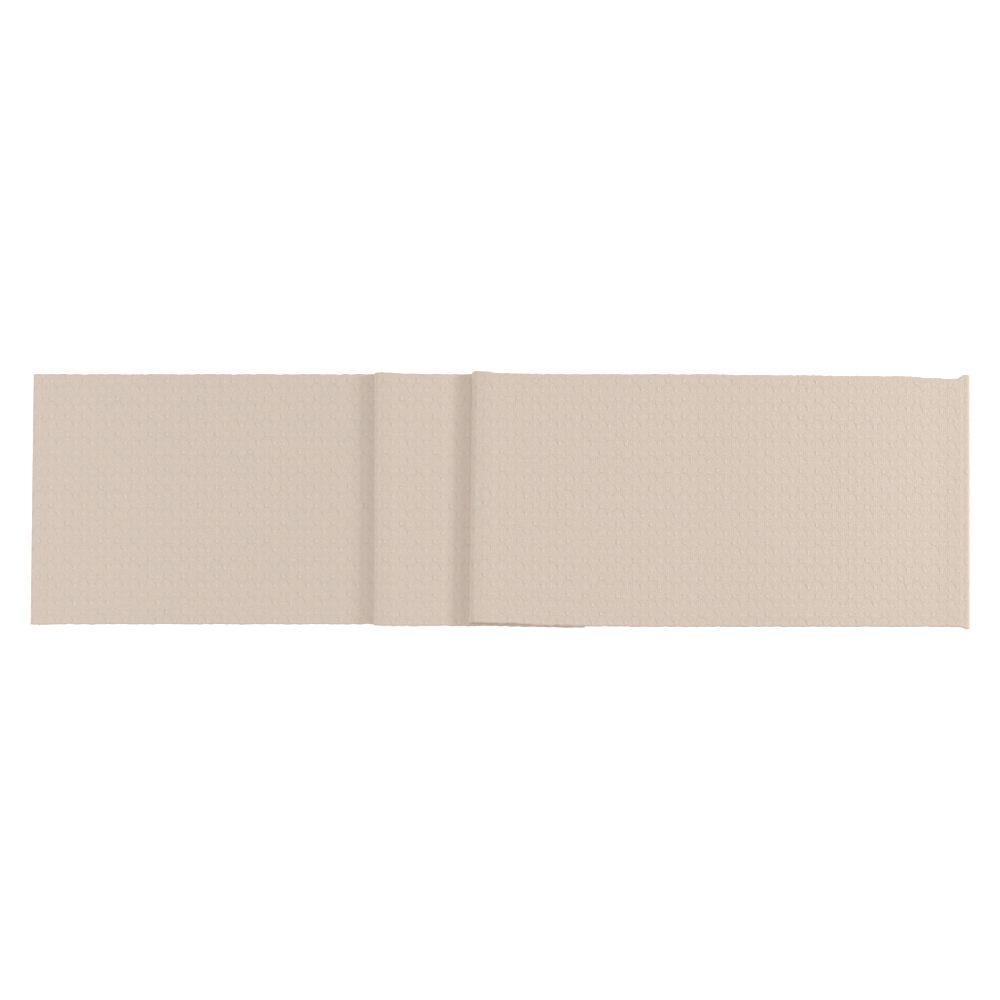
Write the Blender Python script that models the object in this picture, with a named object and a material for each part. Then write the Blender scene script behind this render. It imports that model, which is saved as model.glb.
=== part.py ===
"""Table runner: one length of thick woven cloth, laid flat with two soft pleats and hemmed at both ends.

Metres, +Z up. The cloth runs along X, its width along Y, and it lies on the plane z = 0 with the
middle of its laid length at the origin. At each pleat the cloth goes right, back under itself and
right again, so a pleat is three layers deep, and its top layer steps down to the table beyond it:

        front fold 1 /-- top panel 1 --\\ step 1
                     \\-- under panel 1 --\\ back fold 1
    left panel --------------------------/       middle panel ---------- (the same again at pleat 2)
"""

import math

import bmesh
import bpy
from mathutils import Vector

# The cloth
runner_width = 0.356
left_visible_length = 0.482
middle_visible_length = 0.1356
right_visible_length = 0.7044
cloth_thickness = 0.002

# The pleats: how far each hidden fold lies behind its visible one
pleat_1_depth = 0.0916
pleat_2_depth = 0.1619
layer_gap = 0.001

# Where a pleat's top layer comes down to the table
step_clearance = 0.003
step_2_run = 0.026
step_1_foot_clearance = 0.015

# The turned hem at each end
hem_width = 0.0115
hem_thickness = 0.0024
hem_step_run = 0.006
hem_step_clearance = 0.0005
stitch_inset = 0.002

# The lockstitch: its needle thread on top and its bobbin thread underneath
thread_radius = 0.0004
groove_side_clearance = 0.0004
bobbin_lift = 0.0001

seam_gap = 0.0003
arc_steps = 8

# Places along X
laid_length = left_visible_length + middle_visible_length + right_visible_length
left_end_x = -laid_length / 2
right_end_x = laid_length / 2
front_fold_1_x = left_end_x + left_visible_length
front_fold_2_x = front_fold_1_x + middle_visible_length
back_fold_1_x = front_fold_1_x + pleat_1_depth
back_fold_2_x = front_fold_2_x + pleat_2_depth
step_1_top_x = back_fold_1_x + step_clearance
step_2_top_x = back_fold_2_x + step_clearance
step_1_foot_x = front_fold_2_x - step_1_foot_clearance
step_2_foot_x = step_2_top_x + step_2_run
hem_inner_width = hem_width + hem_step_clearance + hem_step_run

# Levels along Z
layer_pitch = cloth_thickness + layer_gap
top_level = 2 * layer_pitch
lower_bend_z = cloth_thickness + layer_gap / 2
upper_bend_z = lower_bend_z + layer_pitch
bend_inner_radius = layer_gap / 2
bend_outer_radius = bend_inner_radius + cloth_thickness
hem_bridge_level = hem_thickness + seam_gap
hem_top = hem_bridge_level + cloth_thickness
groove_width = 2 * (thread_radius + groove_side_clearance)
needle_groove_depth = thread_radius + seam_gap
bobbin_groove_depth = bobbin_lift + 2 * thread_radius + seam_gap

# Colours, as linear red, green and blue, and how matt each is
cloth_look = ((0.72, 0.61, 0.51), 0.95)
under_look = ((0.66, 0.55, 0.46), 0.95)
hem_look = ((0.74, 0.63, 0.53), 0.95)
thread_look = ((0.80, 0.72, 0.62), 0.8)


def arc(centre_x, centre_z, radius, start_degrees, end_degrees):
    """Points of an arc in the XZ plane, with both its ends."""
    points = []
    for step in range(arc_steps + 1):
        angle = math.radians(start_degrees + (end_degrees - start_degrees) * step / arc_steps)
        points.append((centre_x + radius * math.cos(angle), centre_z + radius * math.sin(angle)))
    return points


def make_material(name, look):
    colour, roughness = look
    material = bpy.data.materials.new(name)
    material.use_nodes = True
    shader = material.node_tree.nodes["Principled BSDF"]
    shader.inputs["Base Color"].default_value = (*colour, 1.0)
    shader.inputs["Roughness"].default_value = roughness
    shader.inputs["Metallic"].default_value = 0.0
    return material


def world_place(empty):
    """Where an empty is, counted up through its parents."""
    place = Vector()
    while empty:
        place += Vector(empty.location)
        empty = empty.parent
    return place


def make_axis(name, x, z, parent=None):
    """An empty on a fold's axis, which everything beyond that fold hangs from."""
    empty = bpy.data.objects.new(name, None)
    empty.location = Vector((x, 0.0, z)) - world_place(parent)
    empty.parent = parent
    bpy.context.scene.collection.objects.link(empty)
    return empty


def make_strip(name, outline, look, axis=None):
    """A solid as wide as the runner, with one closed outline in the XZ plane, which hangs from axis."""
    origin = world_place(axis)
    body = bmesh.new()
    corners = [body.verts.new(Vector((x, -runner_width / 2, z)) - origin) for x, z in outline]
    side = body.faces.new(corners)
    moved = bmesh.ops.extrude_face_region(body, geom=[side])["geom"]
    far_corners = [item for item in moved if isinstance(item, bmesh.types.BMVert)]
    bmesh.ops.translate(body, verts=far_corners, vec=(0.0, runner_width, 0.0))
    bmesh.ops.recalc_face_normals(body, faces=body.faces)
    mesh = bpy.data.meshes.new(name)
    body.to_mesh(mesh)
    body.free()
    mesh.shade_smooth()
    mesh.set_sharp_from_angle(angle=math.radians(35))
    mesh.materials.append(make_material(name + "_material", look))
    strip = bpy.data.objects.new(name, mesh)
    strip.parent = axis
    bpy.context.scene.collection.objects.link(strip)


def layer_outline(start_x, end_x, start_level, end_level):
    """A layer of cloth from start_x to end_x, less half a seam at each end."""
    start = start_x + seam_gap / 2
    end = end_x - seam_gap / 2
    return [
        (start, start_level),
        (end, end_level),
        (end, end_level + cloth_thickness),
        (start, start_level + cloth_thickness),
    ]


def bend_outline(nose_x, bend_z, side):
    """Half a ring that joins two layers; side is +1 where its nose points to +X and -1 to -X."""
    centre_x = nose_x - side * bend_outer_radius
    outer = arc(0.0, bend_z, bend_outer_radius, -90, 90)
    inner = arc(0.0, bend_z, bend_inner_radius, 90, -90)
    flat_x = seam_gap / 2
    return [(centre_x + side * max(dx, flat_x), z) for dx, z in outer + inner]


def hem_outline(end_x, side):
    """The turned end: cloth rising off the table, over its own turned edge and back beneath it.

    side is +1 at the right end and -1 at the left one.
    """
    nose_radius = hem_top / 2
    stitch = hem_width - stitch_inset
    groove_start = stitch - groove_width / 2
    groove_end = stitch + groove_width / 2
    step_start = hem_width + hem_step_clearance
    inner_end = hem_inner_width - seam_gap / 2
    top = [
        (inner_end, 0.0),
        (inner_end, cloth_thickness),
        (step_start, hem_top),
        (groove_end, hem_top),
        (groove_end, hem_top - needle_groove_depth),
        (groove_start, hem_top - needle_groove_depth),
        (groove_start, hem_top),
    ]
    nose = arc(nose_radius, nose_radius, nose_radius, 90, 270)
    turned = [
        (groove_start, 0.0),
        (groove_start, bobbin_groove_depth),
        (groove_end, bobbin_groove_depth),
        (groove_end, 0.0),
        (hem_width, 0.0),
        (hem_width, hem_thickness),
        (nose_radius, hem_thickness),
        (nose_radius, hem_bridge_level),
        (step_start, hem_bridge_level),
    ]
    return [(end_x - side * inward, z) for inward, z in top + nose + turned]


def thread_outline(x, z):
    """A six-sided thread."""
    corners = []
    for corner in range(6):
        angle = math.radians(60 * corner)
        corners.append((x + thread_radius * math.cos(angle), z + thread_radius * math.sin(angle)))
    return corners


def make_pleat(number, front_x, back_x, step_top_x, step_foot_x, back_axis, front_axis):
    """A pleat's two folds, its hidden and its top layer, and the step down beyond it."""
    name = f"pleat_{number}_"
    flat_start = front_x + bend_outer_radius
    flat_end = back_x - bend_outer_radius
    back_fold = bend_outline(back_x, lower_bend_z, 1)
    under_panel = layer_outline(flat_start, flat_end, layer_pitch, layer_pitch)
    front_fold = bend_outline(front_x, upper_bend_z, -1)
    top_panel = layer_outline(flat_start, step_top_x, top_level, top_level)
    step = layer_outline(step_top_x, step_foot_x, top_level, 0.0)
    make_strip(name + "back_fold", back_fold, under_look, back_axis)
    make_strip(name + "under_panel", under_panel, under_look, back_axis)
    make_strip(name + "front_fold", front_fold, cloth_look, front_axis)
    make_strip(name + "top_panel", top_panel, cloth_look, front_axis)
    make_strip(name + "step", step, cloth_look, front_axis)


def make_hem(which, end_x, side, axis):
    """A turned hem and the two threads of its lockstitch."""
    stitch_x = end_x - side * (hem_width - stitch_inset)
    needle_thread = thread_outline(stitch_x, hem_top)
    bobbin_thread = thread_outline(stitch_x, bobbin_lift + thread_radius)
    make_strip(which + "_end_hem", hem_outline(end_x, side), hem_look, axis)
    make_strip(which + "_needle_thread", needle_thread, thread_look, axis)
    make_strip(which + "_bobbin_thread", bobbin_thread, thread_look, axis)


for old in list(bpy.data.objects):
    bpy.data.objects.remove(old)

axis_inset = cloth_thickness / 2
back_axis_1 = make_axis("back_fold_1_axis", back_fold_1_x - axis_inset, lower_bend_z)
front_axis_1 = make_axis("front_fold_1_axis", front_fold_1_x + axis_inset, upper_bend_z, back_axis_1)
back_axis_2 = make_axis("back_fold_2_axis", back_fold_2_x - axis_inset, lower_bend_z, front_axis_1)
front_axis_2 = make_axis("front_fold_2_axis", front_fold_2_x + axis_inset, upper_bend_z, back_axis_2)

left_panel = layer_outline(left_end_x + hem_inner_width, back_fold_1_x - bend_outer_radius, 0.0, 0.0)
middle_panel = layer_outline(step_1_foot_x, back_fold_2_x - bend_outer_radius, 0.0, 0.0)
right_panel = layer_outline(step_2_foot_x, right_end_x - hem_inner_width, 0.0, 0.0)

make_hem("left", left_end_x, -1, None)
make_strip("left_panel", left_panel, cloth_look)
make_pleat(1, front_fold_1_x, back_fold_1_x, step_1_top_x, step_1_foot_x, back_axis_1, front_axis_1)
make_strip("middle_panel", middle_panel, cloth_look, front_axis_1)
make_pleat(2, front_fold_2_x, back_fold_2_x, step_2_top_x, step_2_foot_x, back_axis_2, front_axis_2)
make_strip("right_panel", right_panel, cloth_look, front_axis_2)
make_hem("right", right_end_x, 1, front_axis_2)
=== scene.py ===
import math

import bpy
import numpy as np
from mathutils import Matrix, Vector


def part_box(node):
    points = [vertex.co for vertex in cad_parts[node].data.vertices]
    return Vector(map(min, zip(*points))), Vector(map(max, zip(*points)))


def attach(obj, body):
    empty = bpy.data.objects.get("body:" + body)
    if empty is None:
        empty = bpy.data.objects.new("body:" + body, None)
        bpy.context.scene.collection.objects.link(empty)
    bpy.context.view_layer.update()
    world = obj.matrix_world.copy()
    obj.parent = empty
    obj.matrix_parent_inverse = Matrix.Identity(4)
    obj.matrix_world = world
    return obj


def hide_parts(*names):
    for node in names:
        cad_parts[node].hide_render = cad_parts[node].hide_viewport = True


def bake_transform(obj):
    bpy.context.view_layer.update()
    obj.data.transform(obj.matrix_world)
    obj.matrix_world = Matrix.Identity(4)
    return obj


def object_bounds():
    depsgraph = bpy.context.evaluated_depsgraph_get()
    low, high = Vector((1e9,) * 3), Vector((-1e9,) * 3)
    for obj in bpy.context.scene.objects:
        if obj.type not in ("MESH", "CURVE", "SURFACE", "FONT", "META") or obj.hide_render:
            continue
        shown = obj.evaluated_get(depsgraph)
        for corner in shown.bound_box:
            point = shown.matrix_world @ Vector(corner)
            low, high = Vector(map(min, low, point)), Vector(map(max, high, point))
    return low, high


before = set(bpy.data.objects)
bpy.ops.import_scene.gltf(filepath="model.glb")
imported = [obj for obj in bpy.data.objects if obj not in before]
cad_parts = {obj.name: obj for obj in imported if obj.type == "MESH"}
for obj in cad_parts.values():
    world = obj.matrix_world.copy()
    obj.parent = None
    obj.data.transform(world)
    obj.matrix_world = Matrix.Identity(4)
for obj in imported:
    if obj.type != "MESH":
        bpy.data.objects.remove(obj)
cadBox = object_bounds()
bpy.ops.object.select_all(action="DESELECT")

# Metres. The runner lies along X, its far long edge is at +Y and the table top is z = 0.
leftEnd = cadBox[0][0]
rightEnd = cadBox[1][0]
halfWidth = cadBox[1][1]
baseLevel = sum(corner[2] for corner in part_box("left_panel")) / 2      # middle of the cloth's thickness
underLevel = sum(corner[2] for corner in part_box("pleat_1_under_panel")) / 2
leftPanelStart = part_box("left_panel")[0][0]
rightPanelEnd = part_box("right_panel")[1][0]


def pleatPlaces(number):
    name = f"pleat_{number}_"
    return {
        "front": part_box(name + "front_fold")[0][0],
        "back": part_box(name + "back_fold")[1][0],
        "stepFoot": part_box(name + "step")[1][0],
    }


pleat1 = pleatPlaces(1)
pleat2 = pleatPlaces(2)
bendHeight = (baseLevel + underLevel) / 2
bendRadius = (underLevel - baseLevel) / 2

cloth = {
    "thickness": 0.0016,
    "gridStep": 0.0023,         # largest step along the cloth
    "gridTurn": 15,             # and the most that it turns in one step, in degrees
    "rows": 155,                # grid lines across the width
    "edgeRound": 0.0005,        # how far the faces stop short of the long edges
    "scallop": 0.0005,          # the long edges go in and out a little, unevenly
    "hiddenLoft": 0.3,          # relief left in cloth that lies pressed under a pleat
}
# The raised pattern, which repeats as a lattice. Every oval is given in millimetres from a repeat's knot:
# its middle, half its length and width, its slope in degrees, and how far it stands up or sinks.
pattern = {
    "long": 0.0234,             # one repeat along the cloth
    "wide": 0.0253,             # and across it
    "shiftLong": 0.0074,
    "shiftWide": 0.0161,
    "lift": 0.00026,
    "blunt": 1.7,               # the smallest half width that the cloth's own relief follows
    "swell": 0.00035,           # slow waves of the whole cloth
}
ovals = {
    "loop": (0.2, 0.2, 1.3, 1.2, 0, 1.1),
    "stroke": (-2.6, 0.6, 3.6, 0.9, -76, -0.9),
    "beside": (4.6, 1.4, 2.6, 0.8, 80, -0.45),
    "under": (2.4, -3.4, 3.2, 0.8, -6, -0.5),
    "stair": (6.2, -7.6, 3.6, 0.85, -54, -0.55),
    "puff": (12.0, -12.5, 2.6, 2.0, 0, 0.65),
    "halfStroke": (8.8, -12.0, 3.6, 0.9, -74, -0.85),
    "halfBeside": (15.6, -11.2, 3.0, 0.8, 76, -0.5),
    "riser": (18.4, -6.4, 3.6, 0.85, 54, -0.45),
    "patch": (12.2, -1.2, 3.4, 2.2, 0, 0.35),
    "tall": (0.2, -12.8, 1.8, 3.4, 0, 0.35),
}
dice = np.random.default_rng(11)
swellWaves = [
    (dice.uniform(8, 34), dice.uniform(-22, 22), dice.uniform(0, 2 * math.pi), dice.uniform(0.4, 1.0))
    for wave in range(9)
]
# Small pulled wrinkles beside the first pleat: middle x and y, length, half width, slope in degrees, height
wrinkles = [
    (-0.150, -0.104, 0.034, 0.0028, -24, 0.0004),
    (-0.140, -0.118, 0.046, 0.0026, -10, 0.0005),
    (-0.118, -0.127, 0.050, 0.0030, 9, 0.0004),
    (-0.158, -0.130, 0.030, 0.0026, 20, 0.0004),
    (-0.128, -0.142, 0.044, 0.0030, 4, 0.0003),
]


def smooth(t):
    t = np.clip(t, 0.0, 1.0)
    return t * t * (3 - 2 * t)


# A point of the cloth's centre line. heading is its direction in the XZ plane, in degrees; lean moves it
# along X towards the far edge, swell lifts it towards the near edge, and far and near push the long
# edges outwards there, in millimetres.
def knot(x, z, heading, lean=0.0, far=0.0, near=0.0, loft=1.0, swell=0.0):
    return {"x": x, "z": z, "heading": heading, "lean": lean, "far": far / 1000, "near": near / 1000,
            "loft": loft, "swell": swell}


def reliefHeight(along, across):
    # the ovals as the thick cloth takes them up, each repeat a little different from the next
    along = along + 0.0008 * np.sin(across * 57 + 1.3) + 0.0005 * np.sin(across * 131 + along * 23)
    across = across + 0.0006 * np.sin(along * 37 + 0.4) + 0.0004 * np.sin(along * 149)
    height = np.zeros_like(along)
    for midLong, midWide, halfLong, halfWide, slope, lift in ovals.values():
        du = (along - pattern["shiftLong"] - midLong / 1000) / pattern["long"]
        dv = (across - pattern["shiftWide"] - midWide / 1000) / pattern["wide"]
        du = (du - np.round(du)) * pattern["long"] * 1000
        dv = (dv - np.round(dv)) * pattern["wide"] * 1000
        turn = math.radians(slope)
        lengthwise = (du * math.cos(turn) + dv * math.sin(turn)) / max(halfLong, pattern["blunt"])
        sideways = (dv * math.cos(turn) - du * math.sin(turn)) / max(halfWide, pattern["blunt"])
        height += lift * np.exp(-lengthwise ** 2 - sideways ** 2)
    uneven = 1 + 0.5 * np.sin(along * 211 + across * 97) * np.sin(along * 83 - across * 173 + 0.8)
    return pattern["lift"] * height * uneven


def swellHeight(x, y):
    height = np.zeros_like(x)
    for kx, ky, phase, share in swellWaves:
        height += share * np.sin(kx * x + ky * y + phase)
    height *= pattern["swell"] / 3
    for midX, midY, length, half, slope, rise in wrinkles:
        angle = math.radians(slope)
        alongIt = (x - midX) * math.cos(angle) + (y - midY) * math.sin(angle)
        acrossIt = -(x - midX) * math.sin(angle) + (y - midY) * math.cos(angle)
        height += rise * np.exp(-(alongIt / (length / 2)) ** 2 - (acrossIt / half) ** 2)
    return height


# The centre line at places, each a span number plus how far along that span it is, and at side, which is
# -1 at the near edge and +1 at the far one
def spanPoints(knots, places, side):
    x = np.array([[k["x"] + k["lean"] * s for s in side] for k in knots])
    z = np.array([[k["z"] - k["swell"] * s for s in side] for k in knots])
    heading = np.radians([k["heading"] for k in knots])
    span = np.minimum(places.astype(int), len(knots) - 2)
    t = (places - span)[:, None]
    x0, x3, z0, z3 = x[span], x[span + 1], z[span], z[span + 1]
    reach = 0.38 * np.hypot(x3 - x0, z3 - z0)
    x1 = x0 + reach * np.cos(heading[span])[:, None]
    z1 = z0 + reach * np.sin(heading[span])[:, None]
    x2 = x3 - reach * np.cos(heading[span + 1])[:, None]
    z2 = z3 - reach * np.sin(heading[span + 1])[:, None]
    a, b, c, d = (1 - t) ** 3, 3 * t * (1 - t) ** 2, 3 * t * t * (1 - t), t ** 3
    return a * x0 + b * x1 + c * x2 + d * x3, a * z0 + b * z1 + c * z2 + d * z3


# Where the grid's lines cross the centre line: closer together where it turns
def samplePlaces(knots):
    fine = np.linspace(0, len(knots) - 1, 160 * (len(knots) - 1) + 1)
    x, z = spanPoints(knots, fine, np.array([0.0]))
    dx, dz = np.diff(x[:, 0]), np.diff(z[:, 0])
    length = np.hypot(dx, dz)
    turn = np.abs(np.diff(np.unwrap(np.arctan2(dz, dx)), prepend=math.atan2(dz[0], dx[0])))
    steps = length / cloth["gridStep"] + turn / math.radians(cloth["gridTurn"])
    effort = np.concatenate([[0], np.cumsum(steps)])
    count = int(math.ceil(effort[-1]))
    places = np.interp(np.linspace(0, effort[-1], count + 1), effort, fine)
    travelled = np.interp(places, fine, np.concatenate([[0], np.cumsum(length)]))
    return places, travelled


def knotValues(knots, places, what):
    values = np.array([k[what] for k in knots])
    span = np.minimum(places.astype(int), len(knots) - 2)
    return values[span] + (values[span + 1] - values[span]) * smooth(places - span)


# One thick closed strip of cloth along its knots. clothStart is how far along the whole cloth it begins,
# which keeps the pattern running on from strip to strip.
def layCloth(name, knots, clothStart, thickness):
    places, travelled = samplePlaces(knots)
    side = np.linspace(-1, 1, cloth["rows"])
    x, z = spanPoints(knots, places, side)
    along = (clothStart + travelled)[:, None] + 0 * x
    across = side[None, :] * halfWidth + 0 * x
    loft = knotValues(knots, places, "loft")[:, None]
    run = along / pattern["long"]
    wave = cloth["scallop"] * (0.6 * np.sin(run * 2 * math.pi + 2 * np.sin(along * 31))
                               + 0.7 * np.sin(run * 10.7 + 3 * np.sin(along * 47 + 1))
                               + 0.6 * np.sin(along * 88))
    farEdge = halfWidth + knotValues(knots, places, "far")[:, None] + wave * 0.7
    nearEdge = -halfWidth - knotValues(knots, places, "near")[:, None] + np.roll(wave, 5, axis=0) * 0.7
    y = nearEdge + (farEdge - nearEdge) * (side[None, :] + 1) / 2
    du = np.stack([np.gradient(x, axis=0), np.zeros_like(x), np.gradient(z, axis=0)], axis=-1)
    du /= np.linalg.norm(du, axis=-1, keepdims=True)
    normal = np.stack([-du[..., 2], np.zeros_like(x), du[..., 0]], axis=-1)
    middle = np.stack([x, y, z], axis=-1)
    lift = reliefHeight(along, across) * loft
    middle = middle + normal * lift[..., None]
    openness = (loft - cloth["hiddenLoft"]) / (1 - cloth["hiddenLoft"])
    middle[..., 2] += swellHeight(x, y) * np.clip(openness, 0, 1)
    half = thickness / 2
    inset = np.zeros((1, cloth["rows"], 1))
    inset[0, 0, 0], inset[0, -1, 0] = cloth["edgeRound"], -cloth["edgeRound"]
    yWay = np.array([0.0, 1.0, 0.0])
    upper = middle + normal * half + inset * yWay
    lower = middle - normal * half + inset * yWay
    nearRim = middle[:, 0]
    farRim = middle[:, -1]
    nu, nv = x.shape
    points = np.concatenate([upper.reshape(-1, 3), lower.reshape(-1, 3), nearRim, farRim])
    index = np.arange(nu * nv).reshape(nu, nv)
    upperAt, lowerAt = index, index + nu * nv
    nearAt = 2 * nu * nv + np.arange(nu)
    farAt = nearAt + nu

    def quads(a, b, c, d):
        return np.stack([a.ravel(), b.ravel(), c.ravel(), d.ravel()], axis=-1)

    faces = np.concatenate([
        quads(upperAt[:-1, :-1], upperAt[1:, :-1], upperAt[1:, 1:], upperAt[:-1, 1:]),
        quads(lowerAt[:-1, :-1], lowerAt[:-1, 1:], lowerAt[1:, 1:], lowerAt[1:, :-1]),
        quads(upperAt[:-1, 0], nearAt[:-1], nearAt[1:], upperAt[1:, 0]),
        quads(nearAt[:-1], lowerAt[:-1, 0], lowerAt[1:, 0], nearAt[1:]),
        quads(upperAt[1:, -1], farAt[1:], farAt[:-1], upperAt[:-1, -1]),
        quads(farAt[1:], lowerAt[1:, -1], lowerAt[:-1, -1], farAt[:-1]),
        quads(upperAt[0, :-1], upperAt[0, 1:], lowerAt[0, 1:], lowerAt[0, :-1]),
        quads(upperAt[-1, 1:], upperAt[-1, :-1], lowerAt[-1, :-1], lowerAt[-1, 1:]),
    ]).tolist()
    for k in (0, -1):
        nearCap = [int(upperAt[k, 0]), int(lowerAt[k, 0]), int(nearAt[k])]
        farCap = [int(upperAt[k, -1]), int(farAt[k]), int(lowerAt[k, -1])]
        faces += [nearCap, farCap] if k == 0 else [nearCap[::-1], farCap[::-1]]
    mesh = bpy.data.meshes.new(name)
    mesh.from_pydata(points.tolist(), [], faces)
    flat = np.stack([along, across], axis=-1)
    perPoint = np.concatenate([flat.reshape(-1, 2), flat.reshape(-1, 2), flat[:, 0], flat[:, -1]])
    corners = np.empty(len(mesh.loops), dtype=np.int32)
    mesh.loops.foreach_get("vertex_index", corners)
    layer = mesh.uv_layers.new(name="clothMap")
    layer.data.foreach_set("uv", perPoint[corners].astype(np.float32).ravel())
    mesh.shade_smooth()
    mesh.set_sharp_from_angle(angle=math.radians(70))
    piece = bpy.data.objects.new(name, mesh)
    bpy.context.scene.collection.objects.link(piece)
    print(name, len(faces), "faces,", round(float(travelled[-1]), 4), "m long")
    return piece, float(travelled[-1])


# The cloth's way from the left end to the right one
hidden = cloth["hiddenLoft"]
seamReach = 0.008               # the joins lie this far behind each front fold, inside the pleat
f1, b1 = pleat1["front"], pleat1["back"]
f2, b2 = pleat2["front"], pleat2["back"]
nose = cloth["thickness"] / 2


def backFold(x, far, near, tuck=0):
    return [
        knot(x - bendRadius - nose, baseLevel, 0, far=far, near=near, loft=hidden),
        knot(x - nose, bendHeight, 90, far=far, near=near, loft=hidden),
        knot(x - bendRadius - nose, underLevel, 180, far=far, near=near - tuck, loft=hidden),
    ]


leftKnots = [
    knot(leftPanelStart, baseLevel + 0.0014, -1.8, lean=0.0018, near=-3),
    knot(-0.6, baseLevel + 0.0003, -0.8, lean=0.001, near=-3.5),
    knot(-0.35, baseLevel, 0, near=-3.5),
    knot(f1 - 0.03, baseLevel, 0, near=-3.5, loft=1.2),
    knot(f1 - 0.004, baseLevel, 0, near=-3.5, loft=1.2),
    knot(f1 + 0.004, baseLevel, 0, near=-3.5, loft=hidden),
    *backFold(b1, -1, -3),
    knot(f1 + seamReach, underLevel, 180, lean=0.0004, far=1, near=-2.5, loft=hidden),
]
middleKnots = [
    leftKnots[-1],
    knot(f1 + nose, 0.0054, 92, lean=0.0004, far=1, near=-2.5, loft=0.6),
    knot(f1 + 0.0021, 0.0073, 50, lean=0.0004, far=1.5, near=-2, loft=1.4),
    knot(f1 + 0.0045, 0.0083, 19, lean=0.0004, far=2, near=-1.8, loft=1.5),
    knot(f1 + 0.0090, 0.0087, 3, lean=0.0004, far=2.3, near=-1.5, loft=1.4),
    knot(f1 + 0.040, 0.0080, -2.6, far=1, near=-1.5),
    knot(b1 - 0.0135, 0.0063, -3.2, near=-1.5),
    knot(b1 + 0.002, 0.0055, -4, near=-1.5),
    knot(pleat1["stepFoot"], 0.0029, -4.4, near=-1.2, loft=1.8),
    knot(f2 - 0.002, 0.0020, -3, near=-1, loft=1.6),
    knot(f2 + 0.012, baseLevel, 0, near=-1, loft=hidden),
]
innerKnots = [
    middleKnots[-1],
    *backFold(b2, -1, 1.2, tuck=0.4),
    knot(b2 - 0.040, underLevel, 180, far=0, near=-3.0, loft=hidden),
    knot(f2 + 0.030, underLevel, 180, far=1, near=-6.5, loft=hidden),
    knot(f2 + seamReach, underLevel, 180, lean=0.0027, far=2.5, near=-6.0, loft=hidden),
]
rightKnots = [
    innerKnots[-1],
    knot(f2 + nose, 0.0057, 92, lean=0.0027, far=2.5, near=-5, loft=0.6, swell=0.0002),
    knot(f2 + 0.0020, 0.0089, 66, lean=0.0027, far=3.5, near=-6, loft=1.4, swell=0.0004),
    knot(f2 + 0.0042, 0.0111, 29, lean=0.0027, far=4.6, near=-6.3, loft=1.5, swell=0.0006),
    knot(f2 + 0.0086, 0.0121, 5, lean=0.0027, far=4.6, near=-6.3, loft=1.4, swell=0.0007),
    knot(f2 + 0.046, 0.0111, -3.0, far=1, near=-5, swell=0.0004),
    knot(b2 - 0.050, 0.0083, -2.6, near=-2),
    knot(b2 - 0.010, 0.0068, -2.2, near=-1.2),
    knot(b2 + 0.022, 0.0058, -1.8, near=-0.8),
    knot(b2 + 0.062, 0.0046, -1.7, near=-0.4),
    knot(b2 + 0.115, 0.0031, -1.5),
    knot(b2 + 0.175, baseLevel + 0.0005, -0.7),
    knot(0.35, baseLevel + 0.0001, 0, far=-1),
    knot(0.56, baseLevel, 0, far=-2.5),
    knot(0.61, baseLevel + 0.0003, 0.4, far=-5),
    knot(rightPanelEnd, baseLevel + 0.0017, 2.2, far=-7),
]

# The hems, from where the cloth leaves the table to its cut edge, turned under twice. Places are measured
# inwards from the runner's end.
hem = {
    "layer": 0.0013,            # the cloth is pressed thinner here
    "ramp": 0.0130,             # where it has risen over its own turned edge
    "groove": 0.0097,           # the line of stitches
    "crown": 0.0034,
    "tuck": 0.0028,             # where it lies flat again under the fold
    "inner": 0.0108,            # the inner turn, and how tight that is
    "turn": 0.0008,
    "cut": 0.0045,              # the cut edge, hidden inside
    "rightRoll": 0.0033,        # height of the top layer's middle
    "leftRoll": 0.0031,
    "leftLean": 0.0022,         # the left end isn't cut quite square
}


# way is +1 at the right end and -1 at the left one
def hemKnots(end, way, start, roll, farEdge, nearEdge, lean):
    def at(inward, z, heading, far, near):
        turned = heading if way > 0 else 180 - heading
        return knot(end - way * inward, z, turned, lean=lean, far=far, near=near, loft=0.45)
    half = hem["layer"] / 2
    outer = (roll - half) / 2 + half / 2
    return [
        start,
        at(hem["ramp"], roll - 0.0002, 3, farEdge[0], nearEdge[0]),
        at(hem["groove"], roll - 0.00045, 2, farEdge[1], nearEdge[1]),
        at(hem["crown"], roll, 0, farEdge[2], nearEdge[2]),
        at(half, outer, -90, farEdge[2], nearEdge[2]),
        at(hem["tuck"], half + 0.0001, 180, farEdge[2] - 1, nearEdge[2] - 0.8),
        at(hem["inner"] - hem["turn"], half + 0.0001, 180, farEdge[1], nearEdge[1] - 0.5),
        at(hem["inner"], half * 2 + 0.0001, 90, farEdge[1], nearEdge[1] - 0.5),
        at(hem["inner"] - hem["turn"], half * 3 + 0.0002, 0, farEdge[1], nearEdge[1] - 0.5),
        at(hem["cut"], half * 3 + 0.0003, 0, farEdge[2] - 2, nearEdge[2] - 2),
    ]


rightRoll, leftRoll = hem["rightRoll"], hem["leftRoll"]
leftLean = hem["leftLean"]
turnedBack = dict(leftKnots[0], heading=178.2)      # the left panel's first point, heading for the left end
rightHemKnots = hemKnots(rightEnd, 1, rightKnots[-1], rightRoll, (-3.6, -1.3, -1.3), (0.5, 2.0, 3.6), 0.0)
leftHemKnots = hemKnots(leftEnd, -1, turnedBack, leftRoll, (0, 0, 0), (-3, -3, -3), leftLean)

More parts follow.
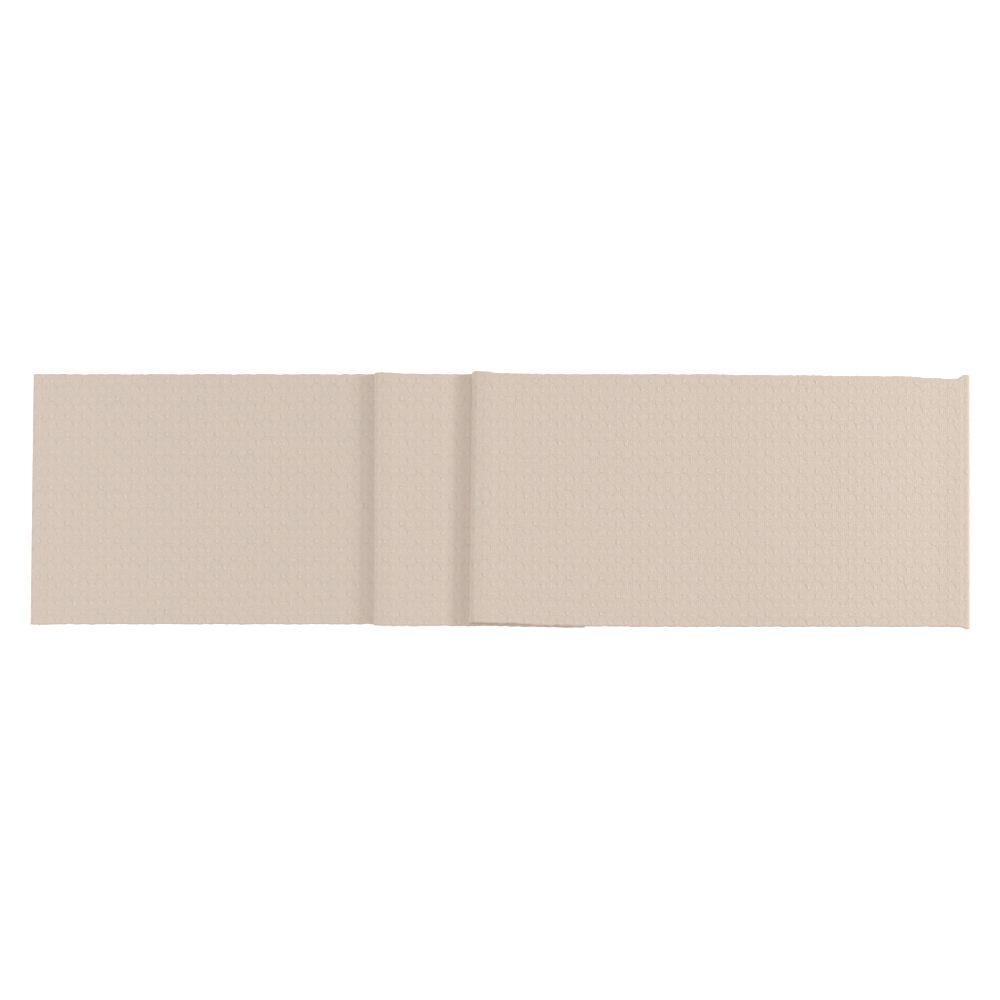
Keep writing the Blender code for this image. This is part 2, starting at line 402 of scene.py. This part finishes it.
thick, layer = cloth["thickness"], hem["layer"]
leftSheet, leftLength = layCloth("leftLengthCloth", leftKnots, 0.0, thick)
middleSheet, middleLength = layCloth("middleLengthCloth", middleKnots, leftLength, thick)
innerStart = leftLength + middleLength
innerSheet, innerLength = layCloth("pleat2InnerCloth", innerKnots, innerStart, thick)
rightStart = innerStart + innerLength
rightSheet, rightLength = layCloth("rightLengthCloth", rightKnots, rightStart, thick)
rightHem, hemLength = layCloth("rightHemRoll", rightHemKnots, rightStart + rightLength, layer)
leftHem, hemLength = layCloth("leftHemRoll", leftHemKnots, 0.0, layer)      # as long as the right one's
print("cloth laid")


# The stitching
stitch = {
    "length": 0.0031,
    "pull": 0.0026,             # how much of that shows between two holes
    "thick": 0.00062,
    "under": 0.0002,            # height of the bobbin thread
    "inEdge": 0.006,            # the seams stop this far short of one edge
    "outEdge": 0.001,
}


# A run of lockstitch across the hem: one bead-shaped stitch, repeated along the line
def stitchRun(name, x, z, lean, yStart, yEnd):
    count = int((yEnd - yStart) / stitch["length"])
    step = (yEnd - yStart) / count
    first = yStart + step / 2
    bpy.ops.object.select_all(action="DESELECT")
    place = (x + lean * first / halfWidth, first, z)
    bpy.ops.mesh.primitive_uv_sphere_add(segments=8, ring_count=7, radius=0.5, location=place,
                                         rotation=(math.pi / 2, 0, 0))
    run = bpy.context.active_object
    run.name = name
    run.scale = (stitch["thick"], stitch["thick"] * 0.9, stitch["pull"])
    bpy.ops.object.transform_apply(location=True, rotation=True, scale=True)
    row = run.modifiers.new("row", "ARRAY")
    row.count = count
    row.use_relative_offset = False
    row.use_constant_offset = True
    row.constant_offset_displace = (lean * step / halfWidth, step, 0)
    bpy.ops.object.modifier_apply(modifier="row")
    bpy.ops.object.shade_smooth()
    bpy.ops.object.select_all(action="DESELECT")
    return run


# Where the needle thread lies: on the groove
def hemTop(end, way, knots):
    return end - way * hem["groove"], knots[2]["z"] + hem["layer"] / 2


rightStitchX, rightStitchZ = hemTop(rightEnd, 1, rightHemKnots)
leftStitchX, leftStitchZ = hemTop(leftEnd, -1, leftHemKnots)
rightSeam = (0.0, -halfWidth, halfWidth - stitch["inEdge"])
leftSeam = (leftLean, -halfWidth + stitch["inEdge"], halfWidth - stitch["outEdge"])
stitches = {
    "right_needle_thread": stitchRun("rightNeedleStitches", rightStitchX, rightStitchZ, *rightSeam),
    "right_bobbin_thread": stitchRun("rightBobbinStitches", rightStitchX, stitch["under"], *rightSeam),
    "left_needle_thread": stitchRun("leftNeedleStitches", leftStitchX, leftStitchZ, *leftSeam),
    "left_bobbin_thread": stitchRun("leftBobbinStitches", leftStitchX, stitch["under"], *leftSeam),
}
print("stitching done")


def newGroup(name, inputs, outputs):
    tree = bpy.data.node_groups.new(name, "ShaderNodeTree")
    for label, kind, value in inputs:
        socket = tree.interface.new_socket(label, in_out="INPUT", socket_type=kind)
        if value is not None:
            socket.default_value = value
    for label, kind in outputs:
        tree.interface.new_socket(label, in_out="OUTPUT", socket_type=kind)
    return tree, tree.nodes.new("NodeGroupInput"), tree.nodes.new("NodeGroupOutput")


# A Math node; each value is a number or another node's output
def mathNode(tree, operation, *values):
    node = tree.nodes.new("ShaderNodeMath")
    node.operation = operation
    for socket, value in zip(node.inputs, values):
        if isinstance(value, (int, float)):
            socket.default_value = value
        else:
            tree.links.new(value, socket)
    return node.outputs[0]


def noise(tree, vector, scale, detail, roughness=0.5):
    node = tree.nodes.new("ShaderNodeTexNoise")
    node.inputs["Scale"].default_value = scale
    node.inputs["Detail"].default_value = detail
    node.inputs["Roughness"].default_value = roughness
    tree.links.new(vector, node.inputs["Vector"])
    return node.outputs["Fac"]


# The lattice of ovals again, crisper than the cloth's own relief, with its yarns and loose fibres, and a
# tone that carries painted shade in the sunk ovals and painted highlight on the raised ones
def makeWeave():
    tree, given, result = newGroup(
        "clothWeave",
        [("Map", "NodeSocketVector", None), ("Rib", "NodeSocketFloat", 0.0029),
         ("Float", "NodeSocketFloat", 0.0038), ("Fleck", "NodeSocketFloat", 0.05)],
        [("Height", "NodeSocketFloat"), ("Tone", "NodeSocketFloat"), ("Warmth", "NodeSocketFloat")],
    )
    split = tree.nodes.new("ShaderNodeSeparateXYZ")
    tree.links.new(given.outputs["Map"], split.inputs[0])
    along, across = split.outputs[0], split.outputs[1]
    fibre = noise(tree, given.outputs["Map"], 900, 2, 0.6)
    slub = noise(tree, given.outputs["Map"], 400, 2)
    patchy = noise(tree, given.outputs["Map"], 70, 1)
    cloud = noise(tree, given.outputs["Map"], 26, 2)

    def wave(value, pitch):
        turns = mathNode(tree, "DIVIDE", value, pitch)
        return mathNode(tree, "SINE", mathNode(tree, "MULTIPLY", turns, 2 * math.pi))

    def centred(value, repeat, middle):
        turns = mathNode(tree, "DIVIDE", mathNode(tree, "SUBTRACT", value, middle), repeat)
        nearest = mathNode(tree, "ROUND", turns)
        return mathNode(tree, "MULTIPLY", mathNode(tree, "SUBTRACT", turns, nearest), repeat * 1000)

    # the sum of (value, share) pairs
    def added(*parts):
        total = 0.0
        for value, share in parts:
            total = mathNode(tree, "MULTIPLY_ADD", value, share, total)
        return total

    wobble = mathNode(tree, "MULTIPLY", mathNode(tree, "SUBTRACT", slub, 0.5), 0.0026)
    # some repeats show strongly and some barely
    showing = mathNode(tree, "MAXIMUM", added((patchy, 2.6), (1.0, -0.3)), 0.15)
    bentAlong = mathNode(tree, "ADD", along, wobble)
    bentAcross = mathNode(tree, "ADD", across, wobble)

    def ovalMask(midLong, midWide, halfLong, halfWide, slope):
        du = centred(bentAlong, pattern["long"], pattern["shiftLong"] + midLong / 1000)
        dv = centred(bentAcross, pattern["wide"], pattern["shiftWide"] + midWide / 1000)
        turn = math.radians(slope)
        lengthwise = added((du, math.cos(turn) / halfLong), (dv, math.sin(turn) / halfLong))
        sideways = added((dv, math.cos(turn) / halfWide), (du, -math.sin(turn) / halfWide))
        sidewaysSquare = mathNode(tree, "MULTIPLY", sideways, sideways)
        squares = mathNode(tree, "MULTIPLY_ADD", lengthwise, lengthwise, sidewaysSquare)
        return mathNode(tree, "EXPONENT", mathNode(tree, "MULTIPLY", squares, -1))

    masks = {name: ovalMask(*oval[:5]) for name, oval in ovals.items()}
    # short floats lie along the cloth beside each knot, and ribs across it on the blobs between
    floatHere = added((masks["loop"], 0.8), (masks["patch"], 0.9))
    ribHere = added((masks["puff"], 0.9), (masks["tall"], 0.8), (1.0, 0.3))
    floats = mathNode(tree, "MULTIPLY", wave(bentAcross, given.outputs["Float"]), floatHere)
    ribs = mathNode(tree, "MULTIPLY", wave(bentAlong, given.outputs["Rib"]), ribHere)
    marks = added(*[(masks[name], oval[5]) for name, oval in ovals.items()])
    marks = mathNode(tree, "MULTIPLY", marks, showing)
    height = added((marks, 1.2), (ribs, 0.5), (floats, 0.5), (slub, 4.0), (fibre, 1.6))
    tree.links.new(height, result.inputs["Height"])
    fleck = given.outputs["Fleck"]
    grain = added((ribs, 0.03), (floats, 0.024), (fibre, fleck), (slub, fleck))
    # the ovals' heights also go into the colour: painted highlight on the raised ovals and painted shade in
    # the sunk strokes and furrows; the fibre and slub flecks are the cloth's own colour
    weaveToneAndPaintedShade = mathNode(tree, "SUBTRACT", added((grain, 1.0), (marks, 0.105), (1.0, 1.0)), fleck)
    tree.links.new(weaveToneAndPaintedShade, result.inputs["Tone"])
    tree.links.new(cloud, result.inputs["Warmth"])
    return tree


weave = makeWeave()


def clothMaterial(name, look):
    material = bpy.data.materials.new(name)
    material.use_nodes = True
    tree = material.node_tree
    shader = tree.nodes["Principled BSDF"]
    place = tree.nodes.new("ShaderNodeUVMap")
    place.uv_map = "clothMap"
    woven = tree.nodes.new("ShaderNodeGroup")
    woven.node_tree = weave
    woven.inputs["Rib"].default_value = look["rib"]
    woven.inputs["Float"].default_value = look["float"]
    woven.inputs["Fleck"].default_value = look["fleck"]
    tree.links.new(place.outputs[0], woven.inputs["Map"])
    tint = tree.nodes.new("ShaderNodeMix")
    tint.data_type = "RGBA"
    tint.inputs["A"].default_value = (*look["cool"], 1)
    tint.inputs["B"].default_value = (*look["warm"], 1)
    tree.links.new(woven.outputs["Warmth"], tint.inputs["Factor"])
    shade = tree.nodes.new("ShaderNodeVectorMath")
    shade.operation = "SCALE"
    tree.links.new(tint.outputs["Result"], shade.inputs[0])
    tree.links.new(woven.outputs["Tone"], shade.inputs["Scale"])
    tree.links.new(shade.outputs[0], shader.inputs["Base Color"])
    bump = tree.nodes.new("ShaderNodeBump")
    bump.inputs["Strength"].default_value = look["depth"]
    bump.inputs["Distance"].default_value = look["relief"]
    tree.links.new(woven.outputs["Height"], bump.inputs["Height"])
    tree.links.new(bump.outputs[0], shader.inputs["Normal"])
    shader.inputs["Roughness"].default_value = look["roughness"]
    shader.inputs["Specular IOR Level"].default_value = look["shine"]
    shader.inputs["Sheen Weight"].default_value = look["sheen"]
    shader.inputs["Sheen Roughness"].default_value = look["sheenRoughness"]
    return material


runnerLook = {
    "cool": (0.704, 0.603, 0.530),
    "warm": (0.726, 0.610, 0.508),
    "roughness": 0.92,
    "shine": 0.2,
    "sheen": 0.12,
    "sheenRoughness": 0.6,
    "depth": 0.6,               # how strongly the weave catches the light
    "relief": 0.00025,
    "rib": 0.0029,              # spacing of the ribs
    "float": 0.0038,            # and of the yarns that lie loose on top
    "fleck": 0.21,              # lighter and darker fibres
}
hemLook = dict(runnerLook, depth=0.5, fleck=0.2)
runnerCloth = clothMaterial("runnerCloth", runnerLook)
hemCloth = clothMaterial("hemCloth", hemLook)


threadLook = {
    "dark": (0.74, 0.66, 0.57),
    "pale": (0.84, 0.77, 0.68),
    "twist": 900,               # how close its bands lie
    "uneven": 1.5,
    "depth": 0.5,
    "relief": 0.00015,
    "roughness": 0.6,
    "sheen": 0.1,
}


# Pale spun thread with a twist that shows as fine slanting bands
def threadMaterial():
    material = bpy.data.materials.new("sewingThread")
    material.use_nodes = True
    tree = material.node_tree
    shader = tree.nodes["Principled BSDF"]
    place = tree.nodes.new("ShaderNodeTexCoord")
    twist = tree.nodes.new("ShaderNodeTexWave")
    twist.bands_direction = "DIAGONAL"
    twist.inputs["Scale"].default_value = threadLook["twist"]
    twist.inputs["Distortion"].default_value = threadLook["uneven"]
    tree.links.new(place.outputs["Object"], twist.inputs["Vector"])
    tint = tree.nodes.new("ShaderNodeMix")
    tint.data_type = "RGBA"
    tint.inputs["A"].default_value = (*threadLook["dark"], 1)
    tint.inputs["B"].default_value = (*threadLook["pale"], 1)
    tree.links.new(twist.outputs["Fac"], tint.inputs["Factor"])
    tree.links.new(tint.outputs["Result"], shader.inputs["Base Color"])
    bump = tree.nodes.new("ShaderNodeBump")
    bump.inputs["Strength"].default_value = threadLook["depth"]
    bump.inputs["Distance"].default_value = threadLook["relief"]
    tree.links.new(twist.outputs["Fac"], bump.inputs["Height"])
    tree.links.new(bump.outputs[0], shader.inputs["Normal"])
    shader.inputs["Roughness"].default_value = threadLook["roughness"]
    shader.inputs["Sheen Weight"].default_value = threadLook["sheen"]
    return material


sewingThread = threadMaterial()
for piece in (leftSheet, middleSheet, innerSheet, rightSheet):
    piece.data.materials.append(runnerCloth)
for piece in (leftHem, rightHem):
    piece.data.materials.append(hemCloth)
for piece in stitches.values():
    piece.data.materials.append(sewingThread)
print("materials done")


def bendAcross(piece):
    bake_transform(piece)


def bendHidden(piece):
    bendAcross(piece)


# Only bakes the piece's placement into its mesh
def bendFront(piece):
    bendAcross(piece)


bendHidden(leftSheet)
bendFront(middleSheet)
bendHidden(innerSheet)
bendFront(rightSheet)

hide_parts("left_panel", "pleat_1_back_fold", "pleat_1_under_panel")
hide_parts("pleat_1_front_fold", "pleat_1_top_panel", "pleat_1_step", "middle_panel")
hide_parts("pleat_2_back_fold", "pleat_2_under_panel")
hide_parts("pleat_2_front_fold", "pleat_2_top_panel", "pleat_2_step", "right_panel")
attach(rightHem, "right_length")
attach(leftHem, "left_length")
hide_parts("right_end_hem")
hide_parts("left_end_hem")
for node, piece in stitches.items():
    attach(piece, "right_length" if node.startswith("right") else "left_length")
    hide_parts(node)


# Floor, light and camera
ground = {"size": 9, "below": 0.0004, "tint": (0.9, 0.9, 0.9), "roughness": 0.9, "glow": 0.35}
bpy.ops.mesh.primitive_plane_add(size=ground["size"], location=(0, 0, -ground["below"]))
floor = bpy.context.active_object
floor.name = "floor"
paper = bpy.data.materials.new("floorPaper")
paper.use_nodes = True
paperShader = paper.node_tree.nodes["Principled BSDF"]
paperShader.inputs["Base Color"].default_value = (*ground["tint"], 1)
paperShader.inputs["Roughness"].default_value = ground["roughness"]
paperShader.inputs["Emission Color"].default_value = (1, 1, 1, 1)
paperShader.inputs["Emission Strength"].default_value = ground["glow"]
floor.data.materials.append(paper)

studio = {
    "key": {"place": (4.2, 1.1, 1.09), "size": 0.67, "power": 106, "tint": (0.93, 0.965, 1.0)},
    "endLight": {"place": (1.45, 0.15, 0.72), "size": 0.55, "power": 3.6, "tint": (1.0, 0.965, 0.9)},
    "coolSide": {"place": (-1.9, 0.1, 0.55), "size": 0.5, "power": 4.3, "tint": (0.75, 0.88, 1.0)},
    "overhead": {"place": (-1.3, -0.3, 3.4), "size": 3.0, "power": 66, "tint": (1.0, 0.962, 0.945)},
    "room": 0.35,
}


def softLight(name, values):
    lamp = bpy.data.lights.new(name, "AREA")
    lamp.shape = "SQUARE"
    lamp.size = values["size"]
    lamp.energy = values["power"]
    lamp.color = values["tint"]
    light = bpy.data.objects.new(name, lamp)
    light.location = values["place"]
    light.rotation_euler = (-Vector(values["place"])).to_track_quat("-Z", "Y").to_euler()
    bpy.context.scene.collection.objects.link(light)


for name in ("key", "endLight", "coolSide", "overhead"):
    softLight(name, studio[name])
world = bpy.data.worlds.new("room")
world.use_nodes = True
world.node_tree.nodes["Background"].inputs["Color"].default_value = (1, 1, 1, 1)
world.node_tree.nodes["Background"].inputs["Strength"].default_value = studio["room"]
bpy.context.scene.world = world
bpy.context.scene.view_settings.view_transform = "Standard"

view = {"lens": 200, "sensor": 36, "across": 1.4094, "aim": (-0.0014, 0.0007)}
camera = bpy.data.cameras.new("camera")
camera.lens = view["lens"]
camera.sensor_width = view["sensor"]
distance = view["across"] * view["lens"] / view["sensor"]
cameraObject = bpy.data.objects.new("camera", camera)
cameraObject.location = (*view["aim"], distance)
bpy.context.scene.collection.objects.link(cameraObject)
bpy.context.scene.camera = cameraObject
camera.clip_start = 0.1
camera.clip_end = 50
print("stage ready")
